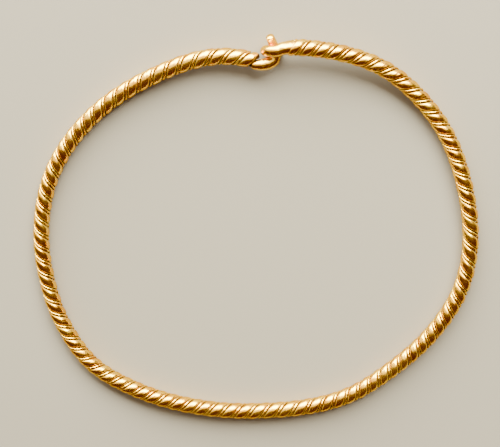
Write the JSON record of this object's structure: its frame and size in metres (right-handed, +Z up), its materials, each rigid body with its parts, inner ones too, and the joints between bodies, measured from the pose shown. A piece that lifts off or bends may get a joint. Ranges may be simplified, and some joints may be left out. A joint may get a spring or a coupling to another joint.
{
  "type": "twisted gold torc",
  "caption": "Gold neck ring: thick round rods twisted into a tight rope with thin wires laid in the grooves, closed by hooks that catch in each other.",
  "frame": {"origin": "on the surface the torc lies on, under the middle of its box", "axes": "+Z up, +X along the hoop's width towards the side of the back hook, +Y along its depth towards the clasp"},
  "size_m": [0.1504, 0.1368, 0.0093],
  "materials": {
    "rod_gold": "polished, slightly hammered",
    "wire_gold": "satin, darkened in the grooves",
    "hook_gold": "polished by wear"
  },
  "bodies": {
    "root": {"twisted_rod_a": "rod_gold", "twisted_rod_b": "rod_gold", "groove_wire_a": "wire_gold", "groove_wire_b": "wire_gold", "upright_hook": "hook_gold", "back_hook": "hook_gold"}
  },
  "joints": []
}
